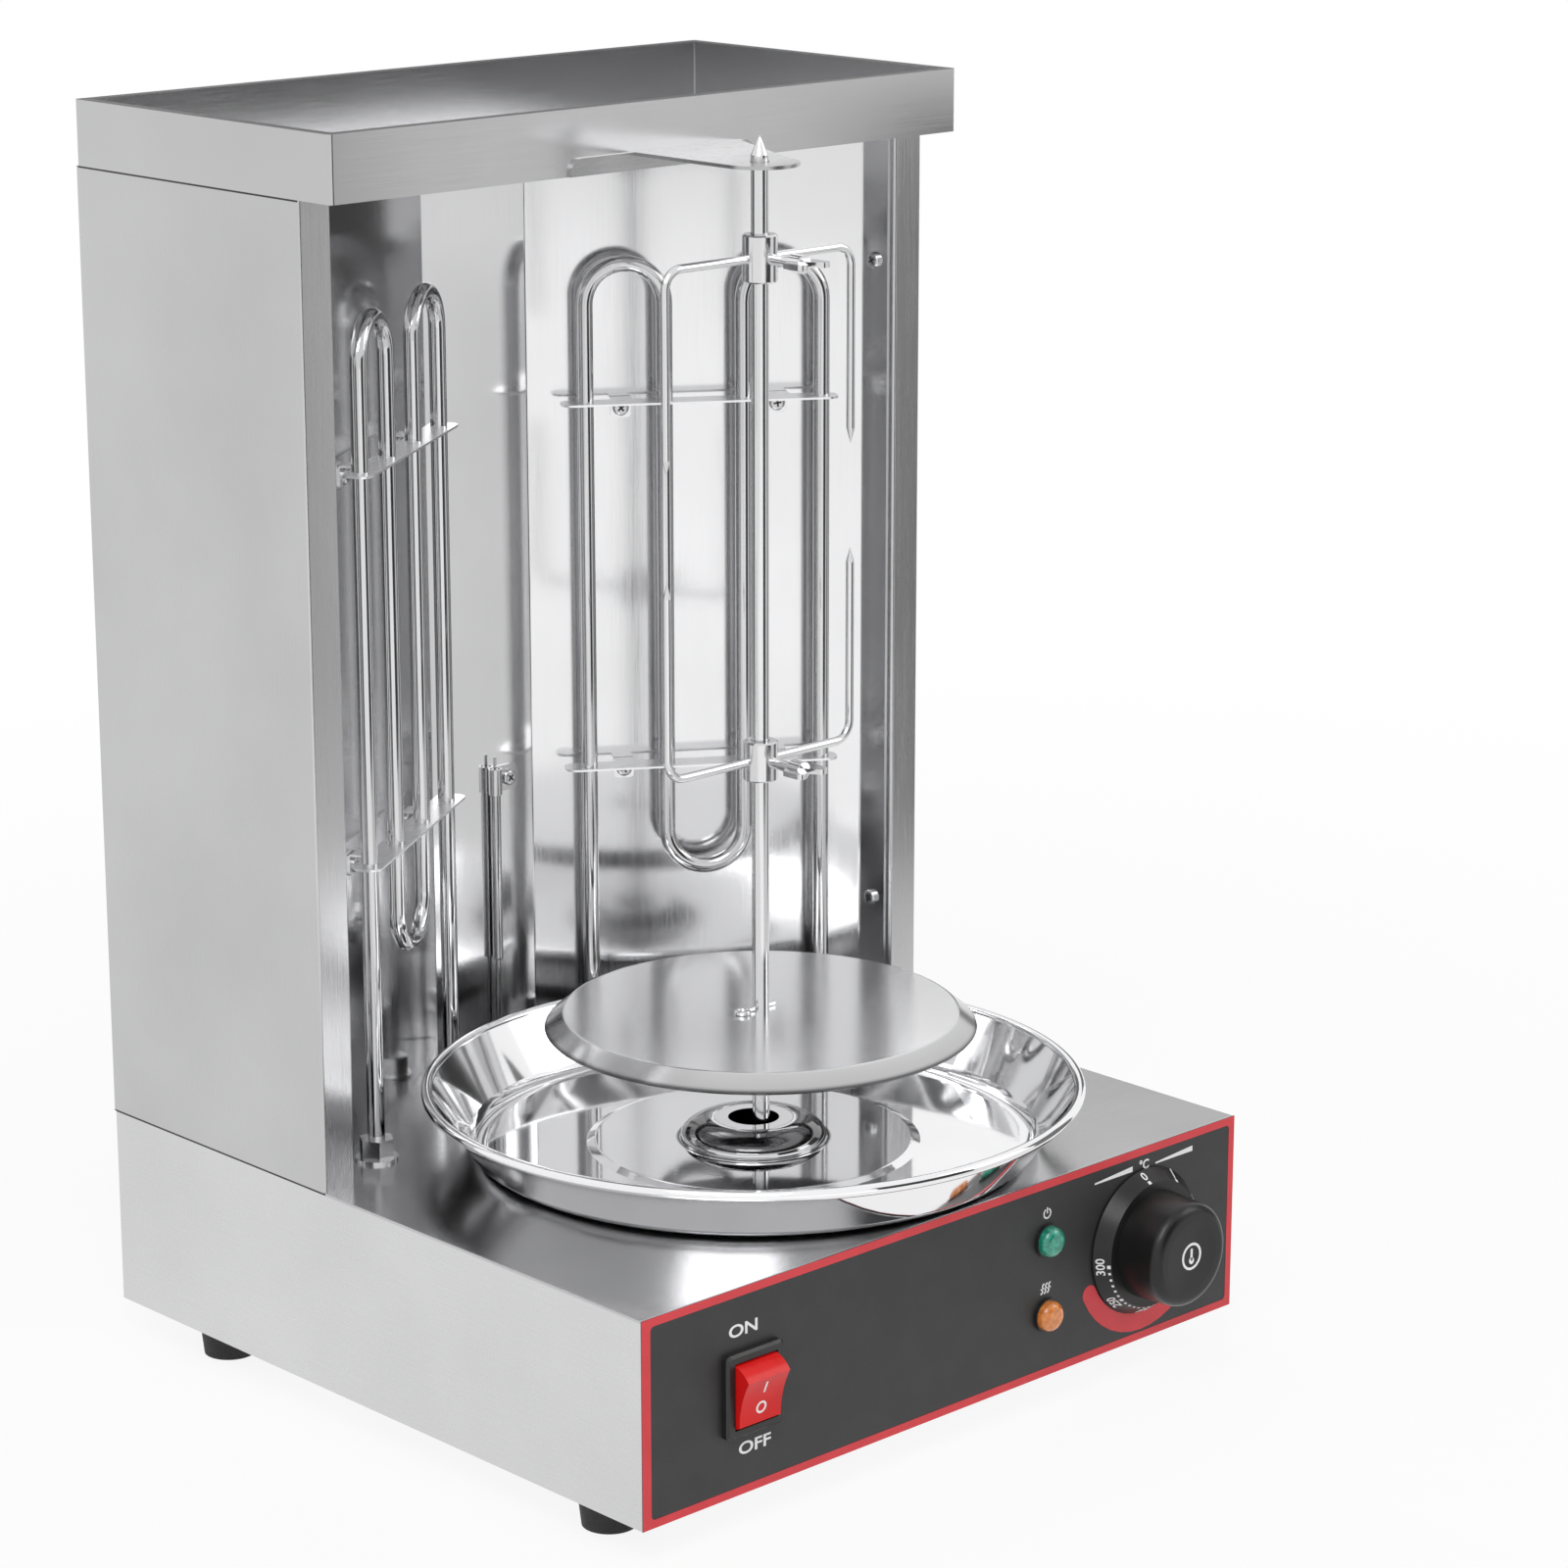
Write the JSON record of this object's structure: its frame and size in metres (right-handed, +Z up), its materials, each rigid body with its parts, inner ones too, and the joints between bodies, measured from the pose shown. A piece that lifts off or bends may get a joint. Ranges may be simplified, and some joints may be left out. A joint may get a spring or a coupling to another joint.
{
  "type": "doner kebab grill",
  "caption": "Table-top electric doner grill: steel base with dial and switch, heated tower with tray on top, turning spit with forks and disc over a drip pan.",
  "frame": {"origin": "on the table, under the middle of the whole object's box", "axes": "+Z up along the spit, -Y out of the control panel, +X to the right as seen from the front"},
  "size_m": [0.38, 0.4244, 0.595],
  "materials": {
    "steel": "brushed stainless sheet, satin",
    "mirror_steel": "bright rolled stainless sheet",
    "element_steel": "polished stainless tube",
    "spit_steel": "polished stainless rod",
    "disc_steel": "brushed stainless disc",
    "pan_steel": "mirror polished stainless sheet",
    "screw_steel": "bright plated steel",
    "motor_metal": "dull grey paint",
    "overlay": "printed polyester film, dark grey with a red border",
    "rubber": "matte black rubber",
    "bulb_metal": "bright nickel plate on copper",
    "black_plastic": "satin black moulding",
    "red_plastic": "glossy red moulding",
    "green_lens": "clear green lens",
    "amber_lens": "clear amber lens",
    "pale_plastic": "pale moulding"
  },
  "bodies": {
    "housing": {"base_deck": "steel", "base_wrap": "steel", "bottom_plate": "steel", "front_panel": "steel", "tower_left_side": "steel", "tower_right_side": "steel", "tower_back": "steel", "top_tray": "steel", "spit_bracket": "steel", "panel_overlay": "overlay", "feet": "rubber", "reflector": "mirror_steel", "left_element": "element_steel", "right_element": "element_steel", "foot_screws": "screw_steel", "cover_screws": "screw_steel", "reflector_screws": "screw_steel", "element_nuts": "screw_steel", "element_washers": "screw_steel", "strap_screws": "screw_steel", "sensor_screw": "screw_steel", "motor_screws": "screw_steel", "left_lower_strap": "screw_steel", "left_upper_strap": "screw_steel", "right_lower_strap": "screw_steel", "right_upper_strap": "screw_steel", "sensor_clip": "screw_steel", "motor_bracket": "screw_steel", "sensor_bulb": "bulb_metal", "gear_motor": "motor_metal", "switch_body": "black_plastic", "thermostat_body": "black_plastic", "power_lamp": "black_plastic", "heat_lamp": "black_plastic", "cord_gland": "black_plastic", "gland_nut": "black_plastic", "power_lens": "green_lens", "heat_lens": "amber_lens", "terminal_block": "pale_plastic"},
    "drive": {"drive_hub": "screw_steel", "motor_shaft": "screw_steel"},
    "spit": {"spit_rod": "spit_steel", "disc_stop": "spit_steel", "meat_disc": "disc_steel", "disc_pin": "screw_steel"},
    "upper_fork": {"upper_fork": "spit_steel"},
    "lower_fork": {"lower_fork": "spit_steel"},
    "upper_thumbscrew": {"upper_thumbscrew": "screw_steel"},
    "lower_thumbscrew": {"lower_thumbscrew": "screw_steel"},
    "pan": {"drip_pan": "pan_steel"},
    "rocker": {"switch_rocker": "red_plastic"},
    "knob": {"dial_skirt": "black_plastic", "knob_cap": "black_plastic", "thermostat_shaft": "screw_steel"}
  },
  "joints": [
    {"name": "drive_spin", "type": "hinge", "parent": "housing", "child": "drive", "pos_m": [0, -0.05375, 0.114], "axis": [0, 0, 1], "continuous": true},
    {"name": "spit_lift", "type": "slide", "parent": "drive", "child": "spit", "axis": [0, 0, 1], "range_m": [0, 0.02]},
    {"name": "upper_fork_slide", "type": "slide", "parent": "spit", "child": "upper_fork", "axis": [0, 0, 1], "range_m": [-0.035, 0.005]},
    {"name": "lower_fork_slide", "type": "slide", "parent": "spit", "child": "lower_fork", "axis": [0, 0, 1], "range_m": [-0.06, 0.01]},
    {"name": "upper_thumbscrew_turn", "type": "hinge", "parent": "upper_fork", "child": "upper_thumbscrew", "pos_m": [0, -0.05375, 0.53025], "axis": [0, -1, 0], "range_deg": [0, 270]},
    {"name": "lower_thumbscrew_turn", "type": "hinge", "parent": "lower_fork", "child": "lower_thumbscrew", "pos_m": [0, -0.05375, 0.29975], "axis": [0, -1, 0], "range_deg": [0, 270]},
    {"name": "pan_lift", "type": "slide", "parent": "housing", "child": "pan", "axis": [0, 0, 1], "range_m": [0, 0.02]},
    {"name": "rocker_tilt", "type": "hinge", "parent": "housing", "child": "rocker", "pos_m": [-0.127, -0.18115, 0.066], "axis": [-1, 0, 0], "range_deg": [0, 30]},
    {"name": "dial_turn", "type": "hinge", "parent": "housing", "child": "knob", "pos_m": [0.126, -0.18075, 0.068], "axis": [0, 1, 0], "range_deg": [0, 270]}
  ]
}
